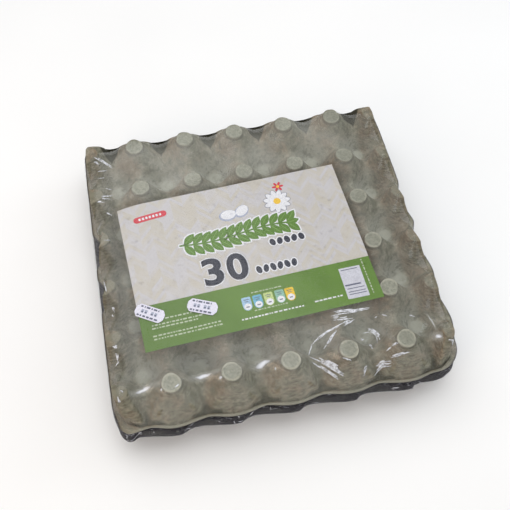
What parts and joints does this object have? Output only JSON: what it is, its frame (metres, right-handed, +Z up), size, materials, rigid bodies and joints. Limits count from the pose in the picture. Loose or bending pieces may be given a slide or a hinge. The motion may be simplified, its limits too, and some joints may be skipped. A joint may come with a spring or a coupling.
{
  "type": "shrink-wrapped tray pack of eggs",
  "caption": "Shut retail pack of eggs: moulded pulp tray turned over as a lid on a second tray, paper label and price stickers on top, clear shrink film round it.",
  "frame": {"origin": "centre of the bottom of the pack, on the surface it stands on", "axes": "+Z up, +X along the rows of five cups, +Y along the rows of six cups, away from the price stickers"},
  "size_m": [0.3026, 0.3026, 0.0804],
  "materials": {
    "dark_pulp": "dark moulded pulp, dull",
    "grey_pulp": "grey-olive moulded pulp with fibre flecks, dull",
    "label_paper": "printed paper: pale herringbone ground and a green band",
    "sticker_paper": "plain pale price sticker",
    "clear_film": "clear shrink film, glossy and wrinkled"
  },
  "bodies": {
    "root": {"base_tray": "dark_pulp", "lid_tray": "grey_pulp", "label": "label_paper", "price_sticker_left": "sticker_paper", "price_sticker_right": "sticker_paper", "film_band": "clear_film"}
  },
  "joints": []
}
